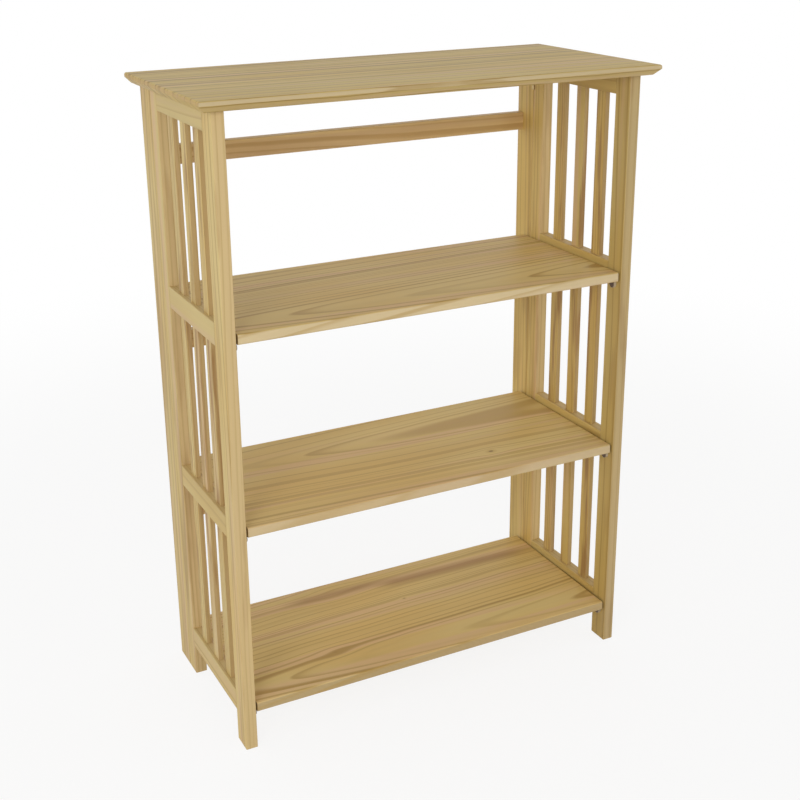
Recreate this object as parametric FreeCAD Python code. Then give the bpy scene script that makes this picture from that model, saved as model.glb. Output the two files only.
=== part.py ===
"""Folding bookcase in solid pine.

Two slatted side frames are hinged to two fixed back posts and fold in, three shelves fold up on
steel pivot pins in those posts, and the top board flips over the back and hangs behind it.

X runs to the right, Y to the back and Z up.  Pieces are drawn with Y = 0 on the front faces of the
front stiles.  They are saved with the origin on the floor, under the middle of the overall width
and depth.  Right-hand pieces are drawn, and left-hand ones are their mirror images.
"""
import FreeCAD, Part
import os

Vector = FreeCAD.Vector
X_AXIS = Vector(1, 0, 0)
Y_AXIS = Vector(0, 1, 0)
Z_AXIS = Vector(0, 0, 1)

# ---------------------------------------------------------------- driving dimensions, in mm
# Case
CASE_WIDTH = 660.0              # over the outer faces of the side frames
STOCK = 18.0                    # thickness of stiles, rails and posts
ARRIS = 1.2                     # rounding on the long edges of the frame pieces

# Side frames
FRONT_STILE_WIDTH = 35.0
REAR_STILE_WIDTH = 29.2
FRAME_DEPTH = 257.7             # front stile face to rear stile face
TOP_RAIL_HEIGHT = 30.8
RAIL_HEIGHT = 33.3
RAIL_RISE = 10.9                # top of a rail above the top of the shelf beside it
TENON_LENGTH = 14.0
TENON_THICKNESS = 8.0
TENON_SHOULDER = 5.0            # above and below a tenon
SLAT_COUNT = 3
SLAT_WIDTH = 22.0
SLAT_THICKNESS = 8.0
SLAT_SETBACK = 4.5              # outer face of a slat behind the outer face of its frame
SLAT_HOUSING = 8.0              # how far a slat runs into each rail
SLAT_ARRIS = 0.8

# Back frame
FOLD_GAP = 0.6                  # between a side frame and its back post
POST_WIDTH = 45.7
BACK_RAIL_HEIGHT = 28.7
BACK_RAIL_THICKNESS = 16.0
BACK_RAIL_RISE = 205.2          # top of a back rail above the shelf below it
BACK_TENON_LENGTH = 10.0
BACK_TENON_THICKNESS = 8.0
BRAD_RADIUS = 0.9
BRAD_LENGTH = 20.0
BRAD_SPACING = 14.0

# Shelves
SHELF_COUNT = 3
LOWEST_SHELF_TOP = 72.4
SHELF_STACK_GAP = 14.0          # between shelves folded up one above the other
TOP_BAY_EXTRA = 11.0            # height of the top bay beyond the others
SHELF_THICKNESS = 15.0
SHELF_FRONT_SETBACK = 2.5
SHELF_BACK_GAP = 13.0           # between a lowered shelf and the back rails
SHELF_END_GAP = 3.3             # between a shelf's end and the side frame
SHELF_FRONT_ROUND = 3.0
SHELF_ARRIS = 1.0
PIVOT_PIN_RADIUS = 3.0
PIVOT_PIN_INSET = 7.5           # centre from the shelf's back edge
PIVOT_PIN_IN_SHELF = 22.0
PIVOT_PIN_IN_POST = 13.0
SUPPORT_PIN_RADIUS = 6.0
SUPPORT_PIN_REACH = 5.0         # out of the stile's inner face
SUPPORT_PIN_EDGE = 0.8          # chamfer round its face
SUPPORT_SHANK_RADIUS = 2.5
SUPPORT_SHANK_LENGTH = 14.0
SUPPORT_PIN_SETBACK = 17.0      # centre behind the front face of the stile

# Top board
TOP_THICKNESS = 15.0
TOP_FRONT_OVERHANG = 20.7
TOP_SIDE_OVERHANG = 21.5
TOP_BEVEL = 9.0                 # under-bevel on the front and side edges
TOP_ROUND = 3.0

# Fold hinges, between side frame and back post
FOLD_HINGE_LENGTH = 50.0
FOLD_HINGE_DROP = 27.0          # hinge centre below the shelf or top board above it
FOLD_BARREL_RADIUS = 2.2
FOLD_PIN_RADIUS = 1.1
FOLD_AXIS_PROUD = 0.6           # axis inside the stile's inner face
FOLD_LEAF_THICKNESS = 1.2
FOLD_LEAF_WIDTH = 14.6
FOLD_SCREW_SETBACK = 8.6        # screw line from the axis
FOLD_KNUCKLES = 5

# Top hinges, between back posts and top board
TOP_HINGE_WIDTH = 16.6
TOP_PLATE_HEIGHT = 50.0
TOP_LEAF_THICKNESS = 1.5
TOP_ARM_WIDTH = 4.4
TOP_BOARD_PLATE_HEIGHT = 13.0
TOP_BARREL_RADIUS = 3.5
TOP_PIN_RADIUS = 1.6
TOP_SCREW_COUNT = 3             # down the plate on a post
TOP_SCREW_SPACING = 16.0
TOP_EDGE_SCREW_SPACING = 7.6

# Screws
SCREW_HEAD_RADIUS = 2.5
SCREW_SHANK_RADIUS = 1.3
SCREW_LENGTH = 12.0
SCREW_POINT = 3.0
SCREW_RECESS_SPAN = 2.8         # cross recess in the head
SCREW_RECESS_WIDTH = 0.6
SCREW_RECESS_DEPTH = 1.0

# Fits
GLUE_GAP = 0.1                  # round tenons, slat ends and hinge leaves
END_GAP = 0.5                   # beyond the end of a tenon, slat or pin
PRESS_GAP = 0.02                # radial, round pins and screws held fast
RUNNING_GAP = 0.05              # radial, round pins that turn
SEAT_GAP = 0.3                  # under the top board, over the support pins, beside knuckles
FOLD_CLEARANCE = 0.5            # between folded pieces that lie face to face

# Tolerances for picking edges
NEAR = 0.001                    # of a place
PARALLEL = 0.999                # least cosine of the angle between an edge and a direction

# ---------------------------------------------------------------- places worked out from them
outer_x = CASE_WIDTH / 2
inner_x = outer_x - STOCK
middle_x = outer_x - STOCK / 2
rail_front_y = FRONT_STILE_WIDTH
rail_back_y = FRAME_DEPTH - REAR_STILE_WIDTH
post_front_y = FRAME_DEPTH + FOLD_GAP
case_depth = post_front_y + POST_WIDTH

back_rail_front_y = case_depth - BACK_RAIL_THICKNESS

shelf_end_x = inner_x - SHELF_END_GAP
shelf_back_y = back_rail_front_y - SHELF_BACK_GAP
pivot_y = shelf_back_y - PIVOT_PIN_INSET
shelf_pitch = shelf_back_y - SHELF_FRONT_SETBACK + SHELF_STACK_GAP
shelf_tops = [LOWEST_SHELF_TOP + level * shelf_pitch for level in range(SHELF_COUNT)]

case_height = shelf_tops[-1] + shelf_pitch + TOP_BAY_EXTRA
board_bottom_z = case_height + SEAT_GAP
board_top_z = board_bottom_z + TOP_THICKNESS
board_back_y = case_depth - SEAT_GAP
board_side_x = outer_x + TOP_SIDE_OVERHANG

fold_axis_x = inner_x - FOLD_AXIS_PROUD
fold_axis_y = FRAME_DEPTH + FOLD_GAP / 2
ceilings = [top - SHELF_THICKNESS for top in shelf_tops[1:]] + [board_bottom_z]
SHELF_NAMES = ["bottom", "middle", "upper"]
BAY_NAMES = ["lower", "middle", "upper"]
fold_hinge_centres = [ceiling - FOLD_HINGE_DROP for ceiling in ceilings]

top_axis_y = case_depth + TOP_LEAF_THICKNESS + FOLD_CLEARANCE + TOP_THICKNESS / 2
top_axis_z = board_bottom_z + TOP_THICKNESS / 2

front_y = -TOP_FRONT_OVERHANG
rear_y = top_axis_y + TOP_BARREL_RADIUS
TO_ORIGIN = Vector(0, -(front_y + rear_y) / 2, 0)


# ---------------------------------------------------------------- shared forms
def block(x_span, y_span, z_span):
    """A square-edged block between three pairs of limits."""
    low = Vector(x_span[0], y_span[0], z_span[0])
    high = Vector(x_span[1], y_span[1], z_span[1])
    size = high - low
    return Part.makeBox(size.x, size.y, size.z, low)


def edges_at(shape, test):
    """The edges of a shape whose two ends both pass a test on a point."""
    return [edge for edge in shape.Edges if all(test(vertex.Point) for vertex in edge.Vertexes)]


def edges_along(shape, direction, test=lambda point: True):
    """The straight edges that run along a direction and whose ends pass a test."""
    def runs_along(edge):
        return abs(edge.tangentAt(edge.FirstParameter).dot(direction)) > PARALLEL
    return [edge for edge in edges_at(shape, test) if runs_along(edge)]


def planed(x_span, y_span, z_span, grain, arris=ARRIS):
    """A planed board whose four arrises along the grain are rounded."""
    board = block(x_span, y_span, z_span)
    return board.makeFillet(arris, edges_along(board, grain))


def rod(radius, start, end):
    """A round rod from one point to another."""
    run = end - start
    return Part.makeCylinder(radius, run.Length, start, run)


def about(centre, length):
    """The pair of limits of a length about its centre."""
    return (centre - length / 2, centre + length / 2)


def grown(span, gap):
    """A pair of limits moved apart by a gap at each end."""
    return (span[0] - gap, span[1] + gap)


def cross_recess():
    """The two slots of a cross recess, in a screw head that faces down at the origin."""
    span = about(0, SCREW_RECESS_SPAN)
    width = about(0, SCREW_RECESS_WIDTH)
    depth = (0, SCREW_RECESS_DEPTH)
    return [block(span, width, depth), block(width, span, depth)]


def screw(head, direction, gap=0.0):
    """A countersunk screw from the middle of its head, or with a gap its hole."""
    head_radius = SCREW_HEAD_RADIUS + gap
    shank_radius = SCREW_SHANK_RADIUS + gap
    length = SCREW_LENGTH + gap
    profile = [
        Vector(0, 0, 0),
        Vector(head_radius, 0, 0),
        Vector(shank_radius, 0, head_radius - shank_radius),
        Vector(shank_radius, 0, length - SCREW_POINT),
        Vector(0, 0, length),
        Vector(0, 0, 0),
    ]
    turned = Part.Face(Part.makePolygon(profile)).revolve(Vector(0, 0, 0), Z_AXIS, 360)
    solid = Part.makeSolid(turned) if turned.ShapeType == "Shell" else turned
    if not gap:
        solid = solid.cut(cross_recess())
    solid.Placement = FreeCAD.Placement(head, FreeCAD.Rotation(Z_AXIS, direction))
    return solid


def group(solids):
    """Several separate solids kept as one node."""
    return Part.makeCompound(solids)


def mirrored(shape):
    """The left-hand copy of a right-hand piece."""
    return shape.mirror(Vector(0, 0, 0), X_AXIS)


# ---------------------------------------------------------------- fold hinges
def fold_hinge_span(centre_z):
    return about(centre_z, FOLD_HINGE_LENGTH)


def knuckle_spans(centre_z, first):
    """The stretches of barrel that belong to one leaf: every second one from the first."""
    low = fold_hinge_span(centre_z)[0]
    pitch = FOLD_HINGE_LENGTH / FOLD_KNUCKLES
    return [(low + index * pitch, low + (index + 1) * pitch) for index in range(first, FOLD_KNUCKLES, 2)]


def fold_rod(radius, z_span):
    """A round rod on the fold axis."""
    low, high = [Vector(fold_axis_x, fold_axis_y, z) for z in z_span]
    return rod(radius, low, high)


def fold_screw_heads(face_y, centre_z):
    """The middles of the screw heads on a leaf whose open face lies at face_y."""
    low, high = fold_hinge_span(centre_z)
    margin = FOLD_HINGE_LENGTH / FOLD_KNUCKLES / 2
    heights = [low + margin, centre_z, high - margin]
    return [Vector(fold_axis_x + FOLD_SCREW_SETBACK, face_y, height) for height in heights]


def fold_leaf(face_y, into, centre_z, first):
    """One leaf: a plate let into the wood from face_y, with its share of the barrel."""
    plate_y = sorted((face_y, face_y + into * FOLD_LEAF_THICKNESS))
    leaf = block((fold_axis_x, fold_axis_x + FOLD_LEAF_WIDTH), plate_y, fold_hinge_span(centre_z))
    other = 1 - first
    clear = [
        fold_rod(FOLD_BARREL_RADIUS + SEAT_GAP, grown(span, SEAT_GAP / 2))
        for span in knuckle_spans(centre_z, other)
    ]
    barrels = [
        fold_rod(FOLD_BARREL_RADIUS, grown(span, -SEAT_GAP / 2))
        for span in knuckle_spans(centre_z, first)
    ]
    leaf = leaf.cut(clear).fuse(barrels)
    holes = [fold_rod(FOLD_PIN_RADIUS + RUNNING_GAP, grown(fold_hinge_span(centre_z), END_GAP))]
    holes += [screw(head, Vector(0, into, 0), PRESS_GAP) for head in fold_screw_heads(face_y, centre_z)]
    return leaf.cut(holes).removeSplitter()


def fold_recess(face_y, into, centre_z):
    """What a hinge takes out of the wood: the leaf's recess, room for the barrel and screw holes."""
    recess_y = sorted((face_y - into * FOLD_GAP, face_y + into * (FOLD_LEAF_THICKNESS + GLUE_GAP)))
    recess_x = (fold_axis_x - FOLD_AXIS_PROUD, fold_axis_x + FOLD_LEAF_WIDTH + GLUE_GAP)
    span = grown(fold_hinge_span(centre_z), GLUE_GAP)
    tools = [block(recess_x, recess_y, span), fold_rod(FOLD_BARREL_RADIUS + SEAT_GAP, span)]
    tools += [screw(head, Vector(0, into, 0), PRESS_GAP) for head in fold_screw_heads(face_y, centre_z)]
    return tools


def fold_hinges():
    """The leaves, pins and screws of one side's fold hinges."""
    frame_leaves = []
    post_leaves = []
    pins = []
    frame_screws = []
    post_screws = []
    for centre_z in fold_hinge_centres:
        frame_leaves.append(fold_leaf(FRAME_DEPTH, -1, centre_z, 0))
        post_leaves.append(fold_leaf(post_front_y, 1, centre_z, 1))
        pins.append(fold_rod(FOLD_PIN_RADIUS, fold_hinge_span(centre_z)))
        frame_screws += [screw(head, -Y_AXIS) for head in fold_screw_heads(FRAME_DEPTH, centre_z)]
        post_screws += [screw(head, Y_AXIS) for head in fold_screw_heads(post_front_y, centre_z)]
    return {
        "fold_hinge_frame_leaves": group(frame_leaves),
        "fold_hinge_post_leaves": group(post_leaves),
        "fold_hinge_pins": group(pins),
        "fold_hinge_frame_screws": group(frame_screws),
        "fold_hinge_post_screws": group(post_screws),
    }


# ---------------------------------------------------------------- side frames
def rail_spans():
    """Height limits of a side frame's four rails, from the floor up."""
    spans = [(top + RAIL_RISE - RAIL_HEIGHT, top + RAIL_RISE) for top in shelf_tops]
    return spans + [(case_height - TOP_RAIL_HEIGHT, case_height)]


def tenon(end_y, outward, z_span, gap=0.0, end_gap=0.0):
    """A rail's tenon beyond its shoulder at end_y, or with gaps its mortise."""
    y_span = sorted((end_y, end_y + outward * (TENON_LENGTH + end_gap)))
    x_span = grown(about(middle_x, TENON_THICKNESS), gap)
    return block(x_span, y_span, grown(z_span, gap - TENON_SHOULDER))


def slat_y_spans():
    """Depth limits of the slats, evenly spread between the stiles."""
    opening = rail_back_y - rail_front_y
    gap = (opening - SLAT_COUNT * SLAT_WIDTH) / (SLAT_COUNT + 1)
    fronts = [rail_front_y + gap + index * (SLAT_WIDTH + gap) for index in range(SLAT_COUNT)]
    return [(front, front + SLAT_WIDTH) for front in fronts]


def slat_x_span():
    face = outer_x - SLAT_SETBACK
    return (face - SLAT_THICKNESS, face)


def slat_housings(rail_z):
    """The pockets for slat ends in the lower and upper edges of a rail."""
    depth = SLAT_HOUSING + END_GAP
    below = (rail_z[0], rail_z[0] + depth)
    above = (rail_z[1] - depth, rail_z[1])
    edges = [above, below]
    if rail_z == rail_spans()[0]:
        edges = [above]
    if rail_z == rail_spans()[-1]:
        edges = [below]
    x_span = grown(slat_x_span(), GLUE_GAP)
    return [block(x_span, grown(y_span, GLUE_GAP), edge) for edge in edges for y_span in slat_y_spans()]


def side_rail(z_span):
    rail = planed((inner_x, outer_x), (rail_front_y, rail_back_y), z_span, Y_AXIS)
    rail = rail.fuse([tenon(rail_front_y, -1, z_span), tenon(rail_back_y, 1, z_span)])
    return rail.cut(slat_housings(z_span))


def slats(lower_rail, upper_rail):
    """The slats of one bay, housed in the rails below and above it."""
    z_span = grown((lower_rail[1], upper_rail[0]), SLAT_HOUSING)
    return group([planed(slat_x_span(), y_span, z_span, Z_AXIS, SLAT_ARRIS) for y_span in slat_y_spans()])


def support_pin_axis(shelf_top):
    """The centre of a support pin on the stile's inner face."""
    underside = shelf_top - SHELF_THICKNESS
    return Vector(inner_x, SUPPORT_PIN_SETBACK, underside - SEAT_GAP - SUPPORT_PIN_RADIUS)


def support_pin(shelf_top):
    """A round steel stud that carries one front corner of a lowered shelf."""
    seat = support_pin_axis(shelf_top)
    head = rod(SUPPORT_PIN_RADIUS, seat - X_AXIS * SUPPORT_PIN_REACH, seat)
    face = edges_at(head, lambda point: point.x < inner_x - SUPPORT_PIN_REACH + NEAR)
    head = head.makeChamfer(SUPPORT_PIN_EDGE, face)
    return head.fuse(rod(SUPPORT_SHANK_RADIUS, seat, seat + X_AXIS * SUPPORT_SHANK_LENGTH))


def support_pin_hole(shelf_top):
    seat = support_pin_axis(shelf_top)
    return rod(SUPPORT_SHANK_RADIUS + PRESS_GAP, seat, seat + X_AXIS * (SUPPORT_SHANK_LENGTH + END_GAP))


def front_stile():
    stile = planed((inner_x, outer_x), (0, FRONT_STILE_WIDTH), (0, case_height), Z_AXIS)
    mortises = [tenon(rail_front_y, -1, z_span, GLUE_GAP, END_GAP) for z_span in rail_spans()]
    return stile.cut(mortises + [support_pin_hole(top) for top in shelf_tops])


def rear_stile():
    stile = planed((inner_x, outer_x), (rail_back_y, FRAME_DEPTH), (0, case_height), Z_AXIS)
    tools = [tenon(rail_back_y, 1, z_span, GLUE_GAP, END_GAP) for z_span in rail_spans()]
    for centre_z in fold_hinge_centres:
        tools += fold_recess(FRAME_DEPTH, -1, centre_z)
    return stile.cut(tools)


def side_frame():
    """Every wooden piece of one side frame, and its support pins."""
    bottom, middle, upper, top = rail_spans()
    return {
        "front_stile": front_stile(),
        "rear_stile": rear_stile(),
        "bottom_rail": side_rail(bottom),
        "middle_rail": side_rail(middle),
        "upper_rail": side_rail(upper),
        "top_rail": side_rail(top),
        "lower_slats": slats(bottom, middle),
        "middle_slats": slats(middle, upper),
        "upper_slats": slats(upper, top),
        "support_pins": group([support_pin(top) for top in shelf_tops]),
    }


# ---------------------------------------------------------------- back frame
def pivot_point(shelf_top, x):
    return Vector(x, pivot_y, shelf_top - SHELF_THICKNESS / 2)


def pivot_pin(shelf_top):
    start = pivot_point(shelf_top, shelf_end_x - PIVOT_PIN_IN_SHELF)
    return rod(PIVOT_PIN_RADIUS, start, pivot_point(shelf_top, inner_x + PIVOT_PIN_IN_POST))


def pivot_hole(shelf_top):
    """The hole for a pivot pin in the back post."""
    end = pivot_point(shelf_top, inner_x + PIVOT_PIN_IN_POST + END_GAP)
    return rod(PIVOT_PIN_RADIUS + PRESS_GAP, pivot_point(shelf_top, inner_x), end)


def back_rail_span(shelf_top):
    """Height limits of the back rail in the bay above a shelf."""
    top = shelf_top + BACK_RAIL_RISE
    return (top - BACK_RAIL_HEIGHT, top)


def back_tenon(shelf_top, gap=0.0, end_gap=0.0):
    """The tenon on the right end of a back rail, or with gaps its mortise."""
    x_span = (inner_x, inner_x + BACK_TENON_LENGTH + end_gap)
    y_span = about(back_rail_front_y + BACK_RAIL_THICKNESS / 2, BACK_TENON_THICKNESS)
    return block(x_span, grown(y_span, gap), grown(back_rail_span(shelf_top), gap - TENON_SHOULDER))


def brads(shelf_top, gap=0.0):
    """The two brads that pin one tenon from behind, or with a gap their holes."""
    x = inner_x + BACK_TENON_LENGTH / 2
    middle_z = sum(back_rail_span(shelf_top)) / 2
    starts = [Vector(x, case_depth, height) for height in about(middle_z, BRAD_SPACING)]
    return [rod(BRAD_RADIUS + gap, start, start - Y_AXIS * (BRAD_LENGTH + gap)) for start in starts]


def back_rail(shelf_top):
    """A rail across the back, flush with the rear of the posts that it is tenoned into."""
    rail = planed((-inner_x, inner_x), (back_rail_front_y, case_depth), back_rail_span(shelf_top), X_AXIS)
    tenons = [back_tenon(shelf_top), mirrored(back_tenon(shelf_top))]
    holes = brads(shelf_top, PRESS_GAP)
    return rail.fuse(tenons).cut(holes + [mirrored(hole) for hole in holes])


def back_post():
    post = planed((inner_x, outer_x), (post_front_y, case_depth), (0, case_height), Z_AXIS)
    tools = [pivot_hole(top) for top in shelf_tops]
    for centre_z in fold_hinge_centres:
        tools += fold_recess(post_front_y, 1, centre_z)
    for top in shelf_tops:
        tools.append(back_tenon(top, GLUE_GAP, END_GAP))
        tools += brads(top, PRESS_GAP)
    tools += top_post_screws(PRESS_GAP)
    return post.cut(tools)


# ---------------------------------------------------------------- shelves and top board
def shelf(top):
    """A shelf with a well rounded front edge and a pivot hole in each end."""
    y_span = (SHELF_FRONT_SETBACK, shelf_back_y)
    board = block((-shelf_end_x, shelf_end_x), y_span, (top - SHELF_THICKNESS, top))

    def lengthwise(test):
        return edges_along(board, X_AXIS, test)

    board = board.makeFillet(SHELF_FRONT_ROUND, lengthwise(lambda point: point.y < pivot_y))
    board = board.makeFillet(SHELF_ARRIS, lengthwise(lambda point: point.y > shelf_back_y - NEAR))
    hole_end = shelf_end_x - PIVOT_PIN_IN_SHELF - END_GAP
    hole = rod(PIVOT_PIN_RADIUS + RUNNING_GAP, pivot_point(top, hole_end), pivot_point(top, shelf_end_x))
    return board.cut([hole, mirrored(hole)])


def top_board():
    """The top: an under-bevel on three edges, a rounded upper arris and a square back."""
    y_span = (front_y, board_back_y)
    board = block((-board_side_x, board_side_x), y_span, (board_bottom_z, board_top_z))

    def on_back(edge):
        return all(vertex.Point.y > board_back_y - NEAR for vertex in edge.Vertexes)

    under = edges_at(board, lambda point: point.z < board_bottom_z + NEAR)
    board = board.makeChamfer(TOP_BEVEL, [edge for edge in under if not on_back(edge)])
    upper = edges_at(board, lambda point: point.z > board_top_z - NEAR)
    board = board.makeFillet(TOP_ROUND, [edge for edge in upper if not on_back(edge)])
    holes = top_edge_screws(PRESS_GAP)
    return board.cut(holes + [mirrored(hole) for hole in holes])


# ---------------------------------------------------------------- top hinges
def top_rod(radius, x_span):
    """A round rod on the top board's axis."""
    low, high = [Vector(x, top_axis_y, top_axis_z) for x in x_span]
    return rod(radius, low, high)


def top_hinge_span():
    return about(middle_x, TOP_HINGE_WIDTH)


def arm_spans():
    """Width limits of the two arms of the post leaf."""
    low, high = top_hinge_span()
    return [(low, low + TOP_ARM_WIDTH), (high - TOP_ARM_WIDTH, high)]


def board_leaf_span():
    """Width limits of the board leaf, between the arms."""
    inner_arm, outer_arm = arm_spans()
    return grown((inner_arm[1], outer_arm[0]), -SEAT_GAP)


def top_tab(x_span, start_y):
    """The flat tab that carries a knuckle, from a plate to the axis."""
    return block(x_span, (start_y, top_axis_y), about(top_axis_z, TOP_LEAF_THICKNESS))


def top_post_screws(gap=0.0):
    """The screws down the middle of the post leaf, or with a gap their holes."""
    face_y = case_depth + TOP_LEAF_THICKNESS
    centre_z = case_height - TOP_PLATE_HEIGHT / 2
    lowest_z = centre_z - TOP_SCREW_SPACING * (TOP_SCREW_COUNT - 1) / 2
    heights = [lowest_z + index * TOP_SCREW_SPACING for index in range(TOP_SCREW_COUNT)]
    return [screw(Vector(middle_x, face_y, z), -Y_AXIS, gap) for z in heights]


def top_edge_screws(gap=0.0):
    """The two screws of the board leaf, or with a gap their holes."""
    face_y = board_back_y + TOP_LEAF_THICKNESS
    heights = about(top_axis_z, TOP_EDGE_SCREW_SPACING)
    return [screw(Vector(middle_x, face_y, z), -Y_AXIS, gap) for z in heights]


def top_post_leaf():
    """The fixed leaf: a plate on the rear of the post, with two arms up to the axis."""
    plate_y = (case_depth, case_depth + TOP_LEAF_THICKNESS)
    leaf = block(top_hinge_span(), plate_y, (case_height - TOP_PLATE_HEIGHT, case_height))
    arm_z = (case_height - TOP_LEAF_THICKNESS, top_axis_z + TOP_LEAF_THICKNESS / 2)
    for span in arm_spans():
        leaf = leaf.fuse([
            block(span, plate_y, arm_z),
            top_tab(span, case_depth),
            top_rod(TOP_BARREL_RADIUS, span),
        ])
    bore = top_rod(TOP_PIN_RADIUS + RUNNING_GAP, top_hinge_span())
    return leaf.cut([bore] + top_post_screws(PRESS_GAP)).removeSplitter()


def top_board_leaf():
    """The moving leaf: a plate on the board's rear edge, with a tab and one knuckle."""
    span = board_leaf_span()
    plate_y = (board_back_y, board_back_y + TOP_LEAF_THICKNESS)
    leaf = block(span, plate_y, about(top_axis_z, TOP_BOARD_PLATE_HEIGHT))
    leaf = leaf.fuse([top_tab(span, board_back_y), top_rod(TOP_BARREL_RADIUS, span)])
    bore = top_rod(TOP_PIN_RADIUS + RUNNING_GAP, span)
    return leaf.cut([bore] + top_edge_screws(PRESS_GAP)).removeSplitter()


# ---------------------------------------------------------------- the whole bookcase
def both_sides(shape):
    """A right-hand piece and its left-hand copy in one node."""
    return group([shape, mirrored(shape)])


def bookcase():
    """Every node of the bookcase, by name."""
    nodes = {}
    per_side = dict(side_frame())
    per_side.update(fold_hinges())
    per_side["back_post"] = back_post()
    for name, shape in per_side.items():
        nodes["right_" + name] = shape
        nodes["left_" + name] = mirrored(shape)

    for name, top in zip(SHELF_NAMES, shelf_tops):
        nodes[name + "_shelf"] = shelf(top)
    for name, top in zip(BAY_NAMES, shelf_tops):
        nodes[name + "_back_rail"] = back_rail(top)
    nodes["back_rail_brads"] = both_sides(group([brad for top in shelf_tops for brad in brads(top)]))
    nodes["shelf_pivot_pins"] = both_sides(group([pivot_pin(top) for top in shelf_tops]))

    nodes["top_board"] = top_board()
    nodes["top_hinge_post_leaves"] = both_sides(top_post_leaf())
    nodes["top_hinge_board_leaves"] = both_sides(top_board_leaf())
    nodes["top_hinge_pins"] = both_sides(top_rod(TOP_PIN_RADIUS, top_hinge_span()))
    nodes["top_hinge_post_screws"] = both_sides(group(top_post_screws()))
    nodes["top_hinge_board_screws"] = both_sides(group(top_edge_screws()))
    return nodes


def save(name, shape):
    """Move a node to the origin and write it, checking that its solids are sound."""
    placed = shape.copy()
    placed.translate(TO_ORIGIN)
    solids = placed.Solids
    placed = solids[0] if len(solids) == 1 else Part.makeCompound(solids)
    if not solids or not placed.isValid():
        raise ValueError("unsound node: " + name)
    placed.exportStep(os.path.join("parts", name + ".step"))
    print("%-34s %2d solids %12.1f mm3" % (name, len(solids), placed.Volume))


os.makedirs("parts", exist_ok=True)
for node_name, node_shape in bookcase().items():
    save(node_name, node_shape)
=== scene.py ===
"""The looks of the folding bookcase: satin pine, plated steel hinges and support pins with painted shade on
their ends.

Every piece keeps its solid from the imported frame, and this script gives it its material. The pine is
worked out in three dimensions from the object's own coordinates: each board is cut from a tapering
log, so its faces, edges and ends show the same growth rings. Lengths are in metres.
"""

import math
import random

import bpy
from mathutils import Matrix, Vector


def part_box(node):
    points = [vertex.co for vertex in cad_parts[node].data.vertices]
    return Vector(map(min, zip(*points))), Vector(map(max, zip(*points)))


AXES = "XYZ"
SIDES = ("left_", "right_")
SLAT_WIDTH = 0.022
SLAT_COUNT = 3

# ---------------------------------------------------------------- camera and light

CAMERA_PLACE = (-0.8587, -1.69935, 1.1971)
CAMERA_AZIMUTH = 0.471
CAMERA_TILT = 0.3399
CAMERA_ROLL = -0.0096
CAMERA_LENS = 58.54
CAMERA_SHIFT_Y = -0.06
SENSOR_WIDTH = 36.0
NEAREST_SEEN = 0.05

SKY_COLOUR = (1.0, 0.99, 0.97, 1.0)
BACKGROUND_COLOUR = (1.0, 1.0, 1.0, 1.0)
HORIZON_LIGHT = 1.30
ZENITH_LIGHT = 0.46
# The light of the sky falls to that of the zenith between these heights of its direction.
SKY_FADE = (0.0, 0.8)
KEY_POWER = 15.0
KEY_PLACE = (-1.9, -1.9, 1.5)
KEY_TARGET = (0.0, 0.0, 0.6)
KEY_SIZE = 1.0
KEY_COLOUR = (1.0, 0.97, 0.98)
FLOOR_SIZE = 80.0
FLOOR_SEEN = (0.94, 0.94, 0.94)
FLOOR_LIT = (0.92, 0.92, 0.92)
FLOOR_ROUGHNESS = 0.9
FLOOR_GLOW = 0.86
# The floor glows fully, and shows no shadow, from the second of these distances outwards.
FLOOR_FADE = (0.9, 2.4)

# ---------------------------------------------------------------- colours of the pine

PALE = {"early": (0.62, 0.485, 0.205), "heart": (0.60, 0.43, 0.155), "late": (0.41, 0.265, 0.080)}
# The sandy wood, darker than the pale wood, is painted shade that dims the lit top board to the shelves'
# level.
SANDY_PAINTED_SHADE = {"early": (0.58, 0.435, 0.145), "heart": (0.56, 0.395, 0.110), "late": (0.36, 0.225, 0.055)}
# The golden wood of the right side: partly its own hue, partly painted warm bounce light that the shelves
# throw on its inner faces.
GOLDEN_AND_PAINTED_BOUNCE = {"early": (0.61, 0.455, 0.160), "heart": (0.58, 0.40, 0.120), "late": (0.42, 0.265, 0.070)}
# The orange wood of the back rails: partly their own orange hue, partly painted light that brightens them
# in the shade under the top board.
ORANGE_AND_PAINTED_LIGHT = {"early": (0.82, 0.62, 0.31), "heart": (0.72, 0.50, 0.225), "late": (0.56, 0.36, 0.140)}
EDGE_COLOUR = (0.62, 0.465, 0.235)
# The colours of the boards' narrow faces. The pink one of the top board and upper shelf is painted front
# light, and the duller and browner ones of the lower shelves are painted shade, darker towards the bottom.
PINK_EDGE_PAINTED_LIGHT = (0.60, 0.485, 0.300)
DULL_EDGE_PAINTED_SHADE = (0.52, 0.400, 0.240)
BROWN_EDGE_PAINTED_SHADE = (0.37, 0.270, 0.140)
# The slats' narrow faces: darker edge grain, and painted shade where they face their neighbours.
SLAT_EDGE_GRAIN_AND_SHADE = (0.47, 0.320, 0.150)
BLUSH = (0.62, 0.420, 0.250)
END_GRAIN = (0.47, 0.31, 0.125)
# Painted shade: the shelves' end faces are far darker than end grain, so that the gaps between the shelves
# and the sides show dark.
SHELF_END_PAINTED_SHADE = (0.16, 0.085, 0.030)
KNOT_COLOUR = (0.20, 0.105, 0.040)
RESIN_COLOUR = (0.34, 0.19, 0.070)

# ---------------------------------------------------------------- figure of the pine

# Each noise: how fast it changes along, across and through the board, and its detail.
WANDER = ((1.9, 5.0, 1.0), 1.5)
RIPPLE = ((9.0, 22.0, 1.0), 1.0)
FIBRE = ((12.0, 380.0, 380.0), 2.0)
BAND = ((2.0, 60.0, 60.0), 2.0)
CLOUD = ((3.0, 9.0, 1.0), 1.0)
FLUSH = ((1.1, 45.0, 90.0), 1.0)
BLOTCH = ((6.0, 70.0, 70.0), 2.0)

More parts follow.
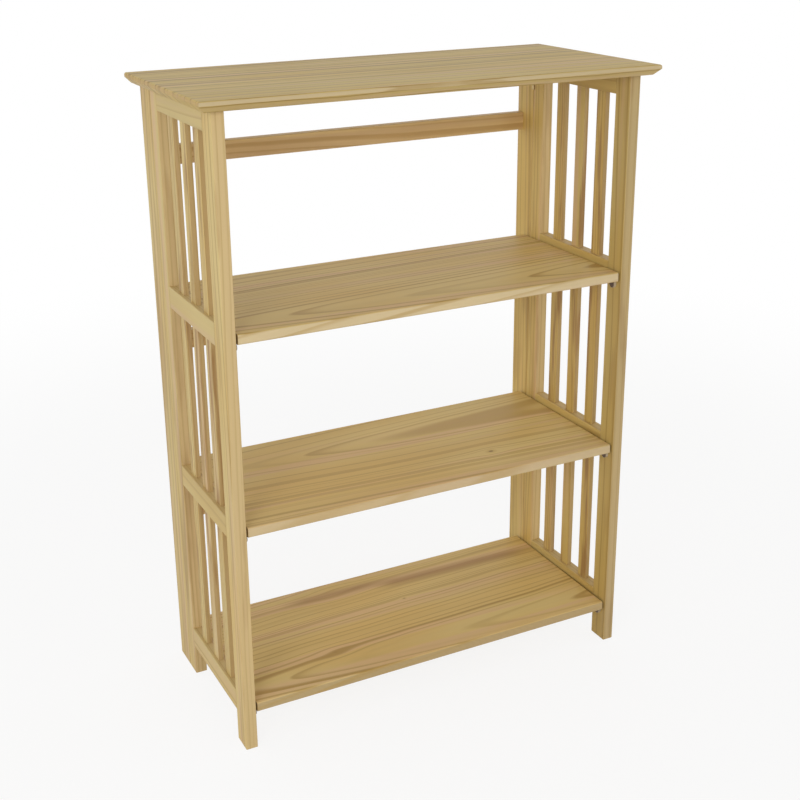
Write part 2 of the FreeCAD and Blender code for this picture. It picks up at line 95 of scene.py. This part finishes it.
# How far along its endless log a board starts, and how far apart the slats of one node are cut along,
# across and through their logs.
LOG_START = (10.0, 60.0)
SLAT_STEP = 7.3
SLAT_THROW = 0.06
SLAT_SINK = 0.03

# Growth rings. The rise and the fall of the latewood are parts of one year's ring, and the spread is
# how many years the rings may shift by.
RIPPLE_SHARE = 0.22
YEAR_PACE = 75.0
YEAR_SPREAD = 2.6
LATE_RISE = (0.58, 0.89)
LATE_FALL = (0.90, 1.0)
FAINTEST_YEAR = 0.35

# Knots. The reach, the core, the halo of darker wood and the raggedness are in radii of the knot. The
# push is how far the grain gives way, and the slimness is how much a length along the grain counts.
KNOT_REACH = 5.0
KNOT_CORE = (0.9, 1.7)
KNOT_HALO = (1.2, 4.0)
KNOT_HALO_DARKNESS = 0.5
KNOT_RAGGEDNESS = 0.8
KNOT_PUSH = 0.85
PUSH_SLIMNESS = 0.45
MARK_SLIMNESS = 0.63

# Between which values of its noise a colour comes in, and how much of it at most.
CLOUD_SHOWS = (0.35, 0.7)
BLUSH_SHOWS = (0.50, 0.68)
BLUSH_STRENGTH = 0.55
BLOTCH_SHOWS = (0.52, 0.68)

# How squarely a face has to look across or along the grain to count as an edge or an end.
EDGE_SHOWS = (0.55, 0.95)
END_SHOWS = (0.75, 0.95)
END_STRENGTH = 0.6
LATE_LOSS_ON_EDGE = 0.6

# Resin streaks: how they waver and how ragged they are, where their sides fade, in half widths, and
# the lengths over which they start and end.
STREAK_WAVER = 1.5
STREAK_RAGGEDNESS = 0.7
STREAK_SHOWS = (0.3, 1.5)
STREAK_FADE_IN = 0.06
STREAK_FADE_OUT = 0.1

# How much the fibres, the bands and the clouds lighten or darken the wood.
FIBRE_LIGHT = 0.09
BAND_LIGHT = 0.16
CLOUD_LIGHT = 0.16

LACQUER_ROUGHNESS = 0.44
FIBRE_ROUGHNESS = 0.16
LATE_SMOOTHNESS = 0.05
LACQUER_GLOSS = 0.22
COAT_WEIGHT = 0.03
COAT_ROUGHNESS = 0.30
# Relief: the strength and the depth of the bump.
FIBRE_RELIEF = (0.10, 0.0005)
LATE_RELIEF = (0.15, 0.0006)

# ---------------------------------------------------------------- the boards, one by one

# knots are (along, across, radius, darkness), and streaks are (from, to, across, half width, strength).
BOARD_EDGE = 0.8
# The shelves' tones, above the top board's, are painted light that lifts each shelf out of the shade of the
# board above it.
BOARD_FIGURES = {
    "top_board": {
        "heart": (0.30, -0.06), "ring": 0.017, "taper": 0.006, "waver": 0.030, "tone": 1.00,
        "contrast": 2.4, "wood": SANDY_PAINTED_SHADE, "edge_colour": PINK_EDGE_PAINTED_LIGHT,
    },
    "upper_shelf": {
        "heart": (-0.078, -0.0225), "ring": 0.0105, "taper": -0.060, "waver": 0.016, "tone": 1.16,
        "contrast": 1.2, "edge_colour": PINK_EDGE_PAINTED_LIGHT, "end_colour": SHELF_END_PAINTED_SHADE,
    },
    "middle_shelf": {
        "heart": (0.070, -0.024), "ring": 0.015, "taper": -0.045, "waver": 0.018, "tone": 1.20,
        "contrast": 0.85, "edge_colour": DULL_EDGE_PAINTED_SHADE, "end_colour": SHELF_END_PAINTED_SHADE,
        "knots": ((0.128, -0.067, 0.0024, 0.8),),
    },
    "bottom_shelf": {
        "heart": (-0.085, -0.019), "ring": 0.0098, "taper": -0.050, "waver": 0.022, "tone": 1.21,
        "contrast": 1.05, "edge_colour": BROWN_EDGE_PAINTED_SHADE, "end_colour": SHELF_END_PAINTED_SHADE,
        "knots": (
            (-0.078, 0.108, 0.005, 0.0),
            (0.021, 0.031, 0.0012, 0.6),
            (-0.150, -0.065, 0.003, 0.15),
        ),
        "streaks": (
            (-0.18, 0.06, 0.110, 0.015, 0.7),
            (-0.02, 0.34, 0.099, 0.017, 0.8),
        ),
    },
}
BACK_RAIL_FIGURE = {"ring": 0.007, "taper": 0.012, "tone": 0.97, "wood": ORANGE_AND_PAINTED_LIGHT, "edge": 0.3}
STILE_FIGURE = {"ring": 0.0075, "waver": 0.010, "contrast": 1.1, "patches": 0.3, "edge": 0.8}
RAIL_FIGURE = {"ring": 0.0075, "waver": 0.006}
SLAT_FIGURE = {
    "heart": (0.0, -0.045), "ring": 0.0055, "taper": 0.008, "contrast": 1.4, "patches": 0.85,
    "edge": 0.75, "edge_colour": SLAT_EDGE_GRAIN_AND_SHADE,
}
STILE_TONES = {
    "left_front_stile": 1.05,
    "left_rear_stile": 1.0,
    "left_back_post": 1.0,
    "right_front_stile": 0.87,
    "right_rear_stile": 1.10,
    "right_back_post": 1.10,
}
RAIL_TONES = (0.95, 1.0)
WIDEST_TAPER = 0.012
# Where a log's heart may lie: at most so far to the side, and so far behind or before the face.
HEART_ASIDE = 0.05
HEART_BEHIND_BACK_RAIL = (0.03, 0.06)
HEART_BEHIND_FRAME = (0.03, 0.08)

# ---------------------------------------------------------------- metals

METALS = {
    "zinc_plated_steel": {
        "colour": (0.60, 0.59, 0.55), "worn": (0.50, 0.49, 0.46), "roughness": 0.36, "metallic": 1.0,
    },
    "zinc_screws": {
        "colour": (0.56, 0.55, 0.53), "worn": (0.44, 0.43, 0.41), "roughness": 0.32, "metallic": 1.0,
    },
    "drawn_steel": {
        "colour": (0.62, 0.61, 0.60), "worn": (0.52, 0.51, 0.49), "roughness": 0.28, "metallic": 1.0,
    },
    "brass_plated_steel": {
        "colour": (0.56, 0.43, 0.22), "worn": (0.44, 0.33, 0.17), "roughness": 0.38, "metallic": 1.0,
    },
    "bronze_pins": {
        "colour": (0.60, 0.51, 0.37), "worn": (0.44, 0.36, 0.25), "roughness": 0.5, "metallic": 0.0,
        # Painted shade: the pins' end faces are dark.
        "end_colour": (0.085, 0.045, 0.022),
    },
}
METAL_OF_SIDE_PARTS = {
    "support_pins": "bronze_pins",
    "fold_hinge_frame_leaves": "brass_plated_steel",
    "fold_hinge_post_leaves": "brass_plated_steel",
    "fold_hinge_frame_screws": "brass_plated_steel",
    "fold_hinge_post_screws": "brass_plated_steel",
    "fold_hinge_pins": "brass_plated_steel",
}
METAL_OF_PARTS = {
    "top_hinge_post_leaves": "zinc_plated_steel",
    "top_hinge_board_leaves": "zinc_plated_steel",
    "top_hinge_post_screws": "zinc_screws",
    "top_hinge_board_screws": "zinc_screws",
    "back_rail_brads": "zinc_screws",
    "top_hinge_pins": "drawn_steel",
    "shelf_pivot_pins": "drawn_steel",
}
TARNISH_PACE = 140.0
TARNISH_DETAIL = 3.0
TARNISH_SHOWS = (0.4, 0.75)
# Rubbed marks: how fast they change along X, Y and Z, their detail, roughness and relief.
RUB_PACE = (260.0, 2600.0, 2600.0)
RUB_DETAIL = 2.0
RUB_ROUGHNESS = 0.2
RUB_RELIEF = (0.1, 0.0002)
# Where the pins' end faces take their dark colour, painted shade.
PIN_END_SHOWS = (0.5, 0.8)


class Graph:
    """Short calls for building one node tree."""

    def __init__(self, tree):
        self.tree = tree
        self.tree.nodes.clear()

    def node(self, kind):
        """A new node of the kind."""
        return self.tree.nodes.new(kind)

    def join(self, source, target):
        """Puts a socket or a plain value into an input."""
        if isinstance(source, bpy.types.NodeSocket):
            self.tree.links.new(source, target)
        else:
            target.default_value = source

    def math(self, operation, *values):
        """A Math node over sockets and numbers."""
        node = self.node("ShaderNodeMath")
        node.operation = operation
        for value, target in zip(values, node.inputs):
            self.join(value, target)
        return node.outputs[0]

    def plus(self, first, second):
        """The sum."""
        return self.math("ADD", first, second)

    def minus(self, first, second):
        """The first less the second."""
        return self.math("SUBTRACT", first, second)

    def times(self, first, second):
        """The product."""
        return self.math("MULTIPLY", first, second)

    def over(self, first, second):
        """The first divided by the second."""
        return self.math("DIVIDE", first, second)

    def absolute(self, value):
        """The value without its sign."""
        return self.math("ABSOLUTE", value)

    def scaled(self, value, factor, offset):
        """The value times a factor, plus an offset."""
        return self.math("MULTIPLY_ADD", value, factor, offset)

    def hypotenuse(self, first, second):
        """The length of a vector of two parts."""
        return self.math("SQRT", self.plus(self.times(first, first), self.times(second, second)))

    def vector(self, x, y, z):
        """A vector out of three sockets or numbers."""
        node = self.node("ShaderNodeCombineXYZ")
        for value, target in zip((x, y, z), node.inputs):
            self.join(value, target)
        return node.outputs[0]

    def stretched(self, places, paces):
        """A vector out of three places, each times its own pace."""
        return self.vector(*map(self.times, places, paces))

    def split(self, vector):
        """The three parts of a vector."""
        node = self.node("ShaderNodeSeparateXYZ")
        self.join(vector, node.inputs[0])
        return node.outputs

    def ramp(self, value, low, high, start=0.0, end=1.0):
        """The value mapped smoothly from low..high to start..end."""
        node = self.node("ShaderNodeMapRange")
        node.interpolation_type = "SMOOTHSTEP"
        for part, target in zip((value, low, high, start, end), node.inputs):
            self.join(part, target)
        return node.outputs["Result"]

    def noise(self, place, detail=1.0, scale=1.0):
        """A noise texture's factor and the three parts of its colour."""
        texture = self.node("ShaderNodeTexNoise")
        texture.inputs["Scale"].default_value = scale
        texture.inputs["Detail"].default_value = detail
        self.join(place, texture.inputs["Vector"])
        return texture.outputs["Fac"], self.split(texture.outputs["Color"])

    def dice(self, number):
        """Random values that stay the same for one number: one value, and three more."""
        texture = self.node("ShaderNodeTexWhiteNoise")
        texture.noise_dimensions = "1D"
        self.join(number, texture.inputs["W"])
        return texture.outputs["Value"], self.split(texture.outputs["Color"])

    def blend(self, factor, first, second):
        """Two colours mixed by a factor."""
        node = self.node("ShaderNodeMix")
        node.data_type = "RGBA"
        self.join(factor, node.inputs["Factor"])
        for colour, target in ((first, node.inputs["A"]), (second, node.inputs["B"])):
            self.join(colour if isinstance(colour, bpy.types.NodeSocket) else (*colour, 1.0), target)
        return node.outputs["Result"]

    def brightened(self, colour, factor):
        """A colour times a factor."""
        node = self.node("ShaderNodeVectorMath")
        node.operation = "SCALE"
        self.join(colour, node.inputs[0])
        self.join(factor, node.inputs["Scale"])
        return node.outputs[0]

    def bump(self, height, relief, normal=None):
        """A Bump node of one (strength, depth), on top of another one if given."""
        node = self.node("ShaderNodeBump")
        node.inputs["Strength"].default_value, node.inputs["Distance"].default_value = relief
        self.join(height, node.inputs["Height"])
        if normal is not None:
            self.join(normal, node.inputs["Normal"])
        return node.outputs["Normal"]

    def seen(self):
        """One for rays that show a surface: from the camera, mirrored or looked through."""
        path = self.node("ShaderNodeLightPath")
        direct = self.math("MAXIMUM", path.outputs["Is Camera Ray"], path.outputs["Is Glossy Ray"])
        return self.math("MAXIMUM", direct, path.outputs["Is Transmission Ray"])

    def mix_shaders(self, factor, first, second):
        """Two shaders mixed by a factor."""
        node = self.node("ShaderNodeMixShader")
        for source, target in zip((factor, first, second), node.inputs):
            self.join(source, target)
        return node.outputs[0]


def surface(name):
    """A new material with its graph and its main shader."""
    material = bpy.data.materials.new(name)
    material.use_nodes = True
    graph = Graph(material.node_tree)
    shader = graph.node("ShaderNodeBsdfPrincipled")
    output = graph.node("ShaderNodeOutputMaterial")
    graph.join(shader.outputs["BSDF"], output.inputs["Surface"])
    return material, graph, shader


# ---------------------------------------------------------------- pine


class Board:
    """One node's places along, across and through its boards, in the graph of its material.

    along and laid are places along and across the whole node. far, across and depth are places in the
    log, which is another one for each slat.
    """

    def __init__(self, graph, node, grain, face, slats):
        self.graph = graph
        low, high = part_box(node)
        middle = dict(zip(AXES, (low + high) / 2))
        width = next(axis for axis in AXES if axis not in (grain, face))
        coordinates = graph.node("ShaderNodeTexCoord")
        place = dict(zip(AXES, graph.split(coordinates.outputs["Object"])))
        facing = dict(zip(AXES, graph.split(coordinates.outputs["Normal"])))
        self.edge_facing = graph.ramp(graph.absolute(facing[width]), *EDGE_SHOWS)
        self.end_facing = graph.ramp(graph.absolute(facing[grain]), *END_SHOWS)
        self.start = random.Random(node).uniform(*LOG_START)
        self.along = graph.minus(place[grain], middle[grain])
        self.laid = graph.minus(place[width], middle[width])
        self.depth = graph.minus(place[face], middle[face])
        self.far = graph.plus(self.along, self.start)
        self.across = self.laid
        if slats:
            first, pitch = slats
            self.take_apart(graph.over(graph.minus(place[width], first), pitch))

    def take_apart(self, slat):
        """Cuts each slat from another place of another log."""
        graph = self.graph
        number = graph.math("FLOOR", slat)
        _, throw = graph.dice(graph.plus(number, self.start))
        self.far = graph.plus(self.far, graph.times(number, SLAT_STEP))
        self.across = graph.plus(self.across, graph.scaled(throw[0], SLAT_THROW, -SLAT_THROW / 2))
        self.depth = graph.plus(self.depth, graph.times(throw[1], SLAT_SINK))

    def noise(self, kind, across):
        """One of the noises of the pine, with the given place across the grain."""
        paces, detail = kind
        return self.graph.noise(self.graph.stretched((self.far, across, self.depth), paces), detail)


def bend_round_knot(board, knot, bent, ripple):
    """Grain lines that part round one knot, with the marks of its core and of the darker wood round it."""
    graph = board.graph
    knot_along, knot_across, radius, darkness = knot
    run = graph.minus(board.along, knot_along)
    side = graph.minus(board.laid, knot_across)
    reach = radius * KNOT_REACH
    away = graph.hypotenuse(graph.times(run, PUSH_SLIMNESS), side)
    near = graph.math("EXPONENT", graph.over(graph.times(away, away), -reach * reach))
    bent = graph.minus(bent, graph.times(graph.times(side, near), KNOT_PUSH))
    distance = graph.hypotenuse(graph.times(run, MARK_SLIMNESS), side)
    distance = graph.scaled(ripple, radius * KNOT_RAGGEDNESS, distance)
    core = graph.ramp(distance, *(radius * part for part in KNOT_CORE), darkness, 0.0)
    halo = graph.ramp(distance, *(radius * part for part in KNOT_HALO), KNOT_HALO_DARKNESS * darkness, 0.0)
    return bent, (core, halo)


def bend_grain(board, wander, waver, knots):
    """The place across the grain once it wavers and bends round the knots, and the knots' marks."""
    ripple, _ = board.noise(RIPPLE, board.across)
    bent = board.graph.scaled(wander[0], waver, board.across)
    bent = board.graph.scaled(ripple, waver * RIPPLE_SHARE, bent)
    marks = []
    for knot in knots:
        bent, mark = bend_round_knot(board, knot, bent, ripple)
        marks.append(mark)
    return bent, marks


def grow_latewood(board, bent, below, ring, taper, contrast):
    """How much latewood shows: it darkens slowly across a ring and ends sharply, stronger in some years.

    bent and below are the place's distances from the log's heart.
    """
    graph = board.graph
    radius = graph.scaled(board.along, taper, graph.hypotenuse(bent, below))
    years, _ = graph.noise(graph.vector(graph.times(radius, YEAR_PACE), board.start, 0.0))
    rings = graph.plus(graph.over(radius, ring), graph.times(years, YEAR_SPREAD))
    phase = graph.math("FRACT", rings)
    rise = graph.ramp(phase, *LATE_RISE)
    fall = graph.ramp(phase, *LATE_FALL, 1.0, 0.0)
    year, _ = graph.dice(graph.math("FLOOR", rings))
    strength = graph.scaled(year, 1.0 - FAINTEST_YEAR, FAINTEST_YEAR)
    profile = graph.times(graph.times(rise, fall), strength)
    return graph.math("MINIMUM", graph.times(profile, contrast), 1.0)


def add_streak(board, colour, streak, wavering, band):
    """A brown streak of resin along the grain."""
    graph = board.graph
    start, end, place_across, half_width, strength = streak
    offset = graph.over(graph.absolute(graph.minus(wavering, place_across)), half_width)
    line = graph.ramp(graph.scaled(band, STREAK_RAGGEDNESS, offset), *STREAK_SHOWS, 1.0, 0.0)
    fade_in = graph.ramp(board.along, start, start + STREAK_FADE_IN)
    fade_out = graph.ramp(board.along, end - STREAK_FADE_OUT, end, 1.0, 0.0)
    cover = graph.times(graph.times(line, graph.times(fade_in, fade_out)), strength)
    return graph.blend(cover, colour, RESIN_COLOUR)


def lacquer(graph, shader, fibre, late):
    """A thin satin lacquer, through which the fibres and the harder latewood still show."""
    rough = graph.scaled(fibre, FIBRE_ROUGHNESS, LACQUER_ROUGHNESS)
    graph.join(graph.scaled(late, -LATE_SMOOTHNESS, rough), shader.inputs["Roughness"])
    relief = graph.bump(late, LATE_RELIEF, graph.bump(fibre, FIBRE_RELIEF))
    graph.join(relief, shader.inputs["Normal"])
    shader.inputs["Specular IOR Level"].default_value = LACQUER_GLOSS
    shader.inputs["Coat Weight"].default_value = COAT_WEIGHT
    shader.inputs["Coat Roughness"].default_value = COAT_ROUGHNESS


def pine(node, grain, face, heart, ring=0.007, taper=0.0, waver=0.012, tone=1.0, contrast=1.0, wood=PALE,
         knots=(), streaks=(), patches=0.0, edge=0.5, edge_colour=EDGE_COLOUR, end_colour=END_GRAIN,
         slats=None):
    """Pine for one node.

    grain and face are the axes of the grain and of the board's broad face. heart is the place of the
    log's heart across the board and behind its face, from the board's middle. knots are (along, across,
    radius, darkness), and streaks are (from, to, across, half width, strength). patches is how brown its
    resinous patches are, and edge is how much of the edge colour its narrow faces take; on the top board,
    the shelves and the slats that edge colour holds painted light and shade. end_colour is that of its end
    grain, and on the shelves a far darker painted shade for the gaps at their ends. slats is (first edge,
    pitch) where the node holds several boards side by side, each from another log.
    """
    material, graph, shader = surface("pine_" + node)
    board = Board(graph, node, grain, face, slats)
    _, wander = board.noise(WANDER, board.across)
    bent, knot_marks = bend_grain(board, wander, waver, knots)
    below = graph.minus(graph.scaled(wander[1], waver, board.depth), heart[1])
    late = grow_latewood(board, graph.minus(bent, heart[0]), below, ring, taper, contrast)

    cloud, tints = board.noise(CLOUD, board.across)
    flush, _ = board.noise(FLUSH, bent)
    band, _ = board.noise(BAND, bent)
    fibre, _ = board.noise(FIBRE, board.across)
    colour = graph.blend(graph.ramp(cloud, *CLOUD_SHOWS), wood["early"], wood["heart"])
    colour = graph.blend(graph.ramp(flush, *BLUSH_SHOWS, 0.0, BLUSH_STRENGTH), colour, BLUSH)
    # Narrow faces take the edge colour, which on the top board and shelves holds painted light that darkens
    # downwards, and on the slats painted shade between them.
    colour = graph.blend(graph.times(board.edge_facing, edge), colour, edge_colour)
    late_share = graph.scaled(board.edge_facing, -LATE_LOSS_ON_EDGE * edge, 1.0)
    colour = graph.blend(graph.times(late, late_share), colour, wood["late"])
    if patches:
        blotch, _ = board.noise(BLOTCH, bent)
        colour = graph.blend(graph.times(graph.ramp(blotch, *BLOTCH_SHOWS), patches), colour, RESIN_COLOUR)
    for streak in streaks:
        wavering = graph.scaled(wander[0], waver * STREAK_WAVER, board.laid)
        colour = add_streak(board, colour, streak, wavering, band)
    for core, halo in knot_marks:
        colour = graph.blend(halo, colour, wood["late"])
        colour = graph.blend(core, colour, KNOT_COLOUR)
    # End faces take the end colour: darker end grain, and on the shelves painted shade for the gaps at
    # their ends.
    colour = graph.blend(graph.times(board.end_facing, END_STRENGTH), colour, end_colour)
    brightness = tone
    for value, reach in ((fibre, FIBRE_LIGHT), (band, BAND_LIGHT), (tints[2], CLOUD_LIGHT)):
        brightness = graph.scaled(value, reach, graph.minus(brightness, reach / 2))
    graph.join(graph.brightened(colour, brightness), shader.inputs["Base Color"])
    lacquer(graph, shader, fibre, late)
    return material


def dress(node, material):
    """Gives a node of the frame one material."""
    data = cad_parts[node].data
    data.materials.clear()
    data.materials.append(material)


def random_heart(lot, behind):
    """A place for the log's heart, behind the board's face or before it."""
    return (lot.uniform(-HEART_ASIDE, HEART_ASIDE), lot.uniform(*behind) * lot.choice((-1, 1)))


def random_taper(lot):
    """How much wider a log gets along the board."""
    return lot.uniform(-WIDEST_TAPER, WIDEST_TAPER)


def dress_boards():
    """The four boards, whose figure is laid out one by one."""
    for node, figure in BOARD_FIGURES.items():
        dress(node, pine(node, "X", "Z", edge=BOARD_EDGE, **figure))


def dress_back_rails():
    """The three back rails, each cut from another log."""
    for node in ("lower_back_rail", "middle_back_rail", "upper_back_rail"):
        heart = random_heart(random.Random(node), HEART_BEHIND_BACK_RAIL)
        dress(node, pine(node, "X", "Y", heart, **BACK_RAIL_FIGURE))


def dress_sides():
    """The posts, stiles, rails and slats of both sides, each cut from another log."""
    # The right side's golden wood holds painted warm bounce light as well as its own hue.
    for side, wood in zip(SIDES, (PALE, GOLDEN_AND_PAINTED_BOUNCE)):
        for part in ("front_stile", "rear_stile", "back_post"):
            node = side + part
            lot = random.Random(node)
            dress(node, pine(node, "Z", "X", random_heart(lot, HEART_BEHIND_FRAME), taper=random_taper(lot),
                             tone=STILE_TONES[node], wood=wood, **STILE_FIGURE))
        for part in ("bottom_rail", "middle_rail", "upper_rail", "top_rail"):
            node = side + part
            lot = random.Random(node)
            dress(node, pine(node, "Y", "X", random_heart(lot, HEART_BEHIND_FRAME), taper=random_taper(lot),
                             tone=lot.uniform(*RAIL_TONES), wood=wood, **RAIL_FIGURE))
        for part in ("lower_slats", "middle_slats", "upper_slats"):
            node = side + part
            low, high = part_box(node)
            pitch = (high.y - low.y - SLAT_WIDTH) / (SLAT_COUNT - 1)
            first = low.y - (pitch - SLAT_WIDTH) / 2
            dress(node, pine(node, "Z", "X", wood=wood, slats=(first, pitch), **SLAT_FIGURE))


# ---------------------------------------------------------------- metal


def metal(name, colour, worn, roughness, metallic, end_colour=None):
    """Plated or coated metal with faint clouds in its colour and fine rubbed marks.

    end_colour, where given, is painted on the faces that look along X: on the pins, a dark painted shade on
    their ends.
    """
    material, graph, shader = surface(name)
    coordinates = graph.node("ShaderNodeTexCoord")
    cloud, _ = graph.noise(coordinates.outputs["Object"], TARNISH_DETAIL, TARNISH_PACE)
    places = graph.split(coordinates.outputs["Object"])
    marks, _ = graph.noise(graph.stretched(places, RUB_PACE), RUB_DETAIL)
    paint = graph.blend(graph.ramp(cloud, *TARNISH_SHOWS), colour, worn)
    if end_colour:
        facing = graph.split(coordinates.outputs["Normal"])
        paint = graph.blend(graph.ramp(graph.absolute(facing[0]), *PIN_END_SHOWS), paint, end_colour)
    graph.join(paint, shader.inputs["Base Color"])
    rough = graph.scaled(marks, RUB_ROUGHNESS, roughness - RUB_ROUGHNESS / 2)
    graph.join(rough, shader.inputs["Roughness"])
    graph.join(graph.bump(marks, RUB_RELIEF), shader.inputs["Normal"])
    shader.inputs["Metallic"].default_value = metallic
    return material


def dress_metal():
    """The hinges, screws, brads and pins."""
    metals = {name: metal(name, **look) for name, look in METALS.items()}
    for side in SIDES:
        for part, name in METAL_OF_SIDE_PARTS.items():
            dress(side + part, metals[name])
    for part, name in METAL_OF_PARTS.items():
        dress(part, metals[name])


# ---------------------------------------------------------------- studio


def make_world():
    """Light from all round, brightest near the horizon, in front of a white background."""
    world = bpy.data.worlds.new("studio")
    world.use_nodes = True
    bpy.context.scene.world = world
    graph = Graph(world.node_tree)
    direction = graph.split(graph.node("ShaderNodeTexCoord").outputs["Generated"])
    lit = graph.node("ShaderNodeBackground")
    lit.inputs["Color"].default_value = SKY_COLOUR
    graph.join(graph.ramp(direction[2], *SKY_FADE, HORIZON_LIGHT, ZENITH_LIGHT), lit.inputs["Strength"])
    white = graph.node("ShaderNodeBackground")
    white.inputs["Color"].default_value = BACKGROUND_COLOUR
    output = graph.node("ShaderNodeOutputWorld")
    shown = graph.mix_shaders(graph.seen(), lit.outputs[0], white.outputs[0])
    graph.join(shown, output.inputs["Surface"])


def make_floor():
    """A white floor that still takes the soft shadow of the bookcase."""
    bpy.ops.mesh.primitive_plane_add(size=FLOOR_SIZE, location=(0, 0, 0))
    floor = bpy.context.object
    floor.name = "floor"
    material, graph, shader = surface("white_floor")
    seen = graph.seen()
    graph.join(graph.blend(seen, FLOOR_LIT, FLOOR_SEEN), shader.inputs["Base Color"])
    shader.inputs["Roughness"].default_value = FLOOR_ROUGHNESS
    shader.inputs["Specular IOR Level"].default_value = 0.0
    glow = graph.node("ShaderNodeEmission")
    glow.inputs["Strength"].default_value = 1.0
    reach = graph.node("ShaderNodeVectorMath")
    reach.operation = "LENGTH"
    graph.join(graph.node("ShaderNodeTexCoord").outputs["Object"], reach.inputs[0])
    glow_here = graph.times(seen, graph.ramp(reach.outputs["Value"], *FLOOR_FADE, FLOOR_GLOW, 1.0))
    output = graph.tree.nodes["Material Output"]
    shown = graph.mix_shaders(glow_here, shader.outputs["BSDF"], glow.outputs[0])
    graph.join(shown, output.inputs["Surface"])
    floor.data.materials.append(material)


def make_lamp():
    """One soft lamp in front of the bookcase and to its left."""
    data = bpy.data.lights.new("key", "AREA")
    data.shape = "DISK"
    data.size = KEY_SIZE
    data.energy = KEY_POWER
    data.color = KEY_COLOUR
    lamp = bpy.data.objects.new("key", data)
    bpy.context.scene.collection.objects.link(lamp)
    lamp.location = KEY_PLACE
    lamp.rotation_euler = (Vector(KEY_TARGET) - Vector(KEY_PLACE)).to_track_quat("-Z", "Y").to_euler()


def make_camera():
    """The camera at the photograph's viewing angle."""
    level = Matrix.Rotation(-CAMERA_AZIMUTH, 4, "Z")
    pitch = Matrix.Rotation(math.pi / 2 - CAMERA_TILT, 4, "X")
    roll = Matrix.Rotation(CAMERA_ROLL, 4, "Z")
    data = bpy.data.cameras.new("camera")
    data.sensor_width = SENSOR_WIDTH
    data.lens = CAMERA_LENS
    data.shift_y = CAMERA_SHIFT_Y
    data.clip_start = NEAREST_SEEN
    camera = bpy.data.objects.new("camera", data)
    bpy.context.scene.collection.objects.link(camera)
    camera.matrix_world = Matrix.Translation(CAMERA_PLACE) @ level @ pitch @ roll
    bpy.context.scene.camera = camera


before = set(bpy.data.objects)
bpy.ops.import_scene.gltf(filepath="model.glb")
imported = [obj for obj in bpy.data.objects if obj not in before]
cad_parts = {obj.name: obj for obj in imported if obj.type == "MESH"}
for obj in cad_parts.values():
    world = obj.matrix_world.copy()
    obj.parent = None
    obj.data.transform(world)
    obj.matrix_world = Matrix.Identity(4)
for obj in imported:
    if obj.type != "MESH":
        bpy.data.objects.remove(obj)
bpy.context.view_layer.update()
bpy.context.scene.view_settings.view_transform = "Standard"
dress_boards()
dress_back_rails()
dress_sides()
dress_metal()
make_world()
make_floor()
make_lamp()
make_camera()
